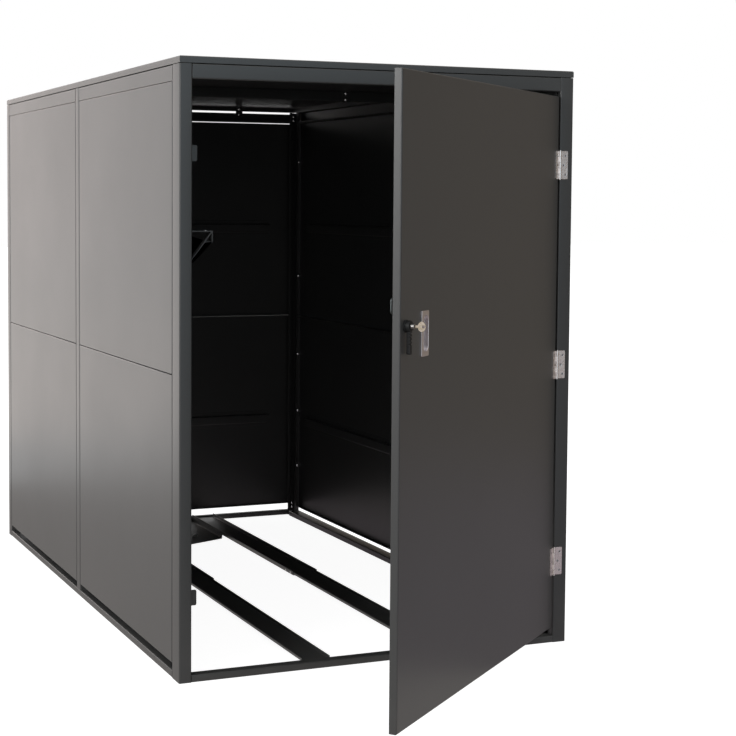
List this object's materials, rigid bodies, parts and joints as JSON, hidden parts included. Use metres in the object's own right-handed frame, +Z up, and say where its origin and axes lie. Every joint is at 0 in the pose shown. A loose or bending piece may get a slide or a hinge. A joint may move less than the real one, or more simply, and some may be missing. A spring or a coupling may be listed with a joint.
{
  "type": "bicycle locker",
  "caption": "Full-height steel locker for a whole bicycle: folded-sheet cabinet with tray panels, wheel channels, a flat roof and a hinged door with a key-locked lever.",
  "frame": {"origin": "middle of the front sill's underside, midway across its depth, on the ground", "axes": "+Z up; +X to the right along the front as seen from outside; +Y into the locker's depth"},
  "size_m": [1.18, 2.8298, 1.65],
  "materials": {
    "powder_coat": "anthracite satin powder coat with a fine grain",
    "stainless": "satin stainless steel",
    "zinced_steel": "bright zinc plate",
    "chrome": "polished chrome plate",
    "nickel_brass": "worn nickel-brass key blank",
    "black_moulding": "black fine-grained moulding"
  },
  "bodies": {
    "cabinet": {"left_front_post": "powder_coat", "right_front_post": "powder_coat", "left_rear_post": "powder_coat", "right_rear_post": "powder_coat", "left_mid_post": "powder_coat", "right_mid_post": "powder_coat", "left_top_rail": "powder_coat", "right_top_rail": "powder_coat", "front_lintel": "powder_coat", "rear_top_rail": "powder_coat", "front_sill": "powder_coat", "left_bottom_rail": "powder_coat", "right_bottom_rail": "powder_coat", "rear_bottom_rail": "powder_coat", "left_front_upper_panel": "powder_coat", "left_front_lower_panel": "powder_coat", "left_rear_upper_panel": "powder_coat", "left_rear_lower_panel": "powder_coat", "right_front_upper_panel": "powder_coat", "right_front_lower_panel": "powder_coat", "right_rear_upper_panel": "powder_coat", "right_rear_lower_panel": "powder_coat", "rear_upper_panel": "powder_coat", "rear_lower_panel": "powder_coat", "roof_tray": "powder_coat", "roof_cross_beam": "powder_coat", "front_left_roof_clip": "powder_coat", "front_right_roof_clip": "powder_coat", "middle_left_roof_clip": "powder_coat", "middle_right_roof_clip": "powder_coat", "rear_left_roof_clip": "powder_coat", "rear_right_roof_clip": "powder_coat", "left_wheel_channel_front": "powder_coat", "left_wheel_channel_rear": "powder_coat", "right_wheel_channel_front": "powder_coat", "right_wheel_channel_rear": "powder_coat", "wheel_channel_tie": "powder_coat", "corner_console": "powder_coat", "upper_door_stop": "powder_coat", "lower_door_stop": "powder_coat", "upper_hinge_frame_leaf": "stainless", "upper_hinge_pin": "stainless", "middle_hinge_frame_leaf": "stainless", "middle_hinge_pin": "stainless", "lower_hinge_frame_leaf": "stainless", "lower_hinge_pin": "stainless"},
    "door": {"door_leaf": "powder_coat", "pull_plate": "stainless", "upper_hinge_door_leaf": "stainless", "middle_hinge_door_leaf": "stainless", "lower_hinge_door_leaf": "stainless", "lever_base": "black_moulding", "lever_nut": "zinced_steel"},
    "lever": {"lever_handle": "black_moulding", "spindle": "zinced_steel", "latch_hook": "zinced_steel"},
    "key": {"lock_plug": "chrome", "key": "nickel_brass"}
  },
  "joints": [
    {"name": "door_hinge", "type": "hinge", "parent": "cabinet", "child": "door", "pos_m": [0.5465, -0.02, 0.811], "axis": [0, 0, 1], "range_deg": [-40.2, 129.8]},
    {"name": "lever_turn", "type": "hinge", "parent": "door", "child": "lever", "pos_m": [-0.27182, -0.70629, 0.991], "axis": [0.6455, -0.7638, 0], "range_deg": [0, 90]},
    {"name": "key_turn", "type": "hinge", "parent": "lever", "child": "key", "pos_m": [-0.27182, -0.70629, 0.991], "axis": [0.6455, -0.7638, 0], "range_deg": [0, 90]}
  ]
}
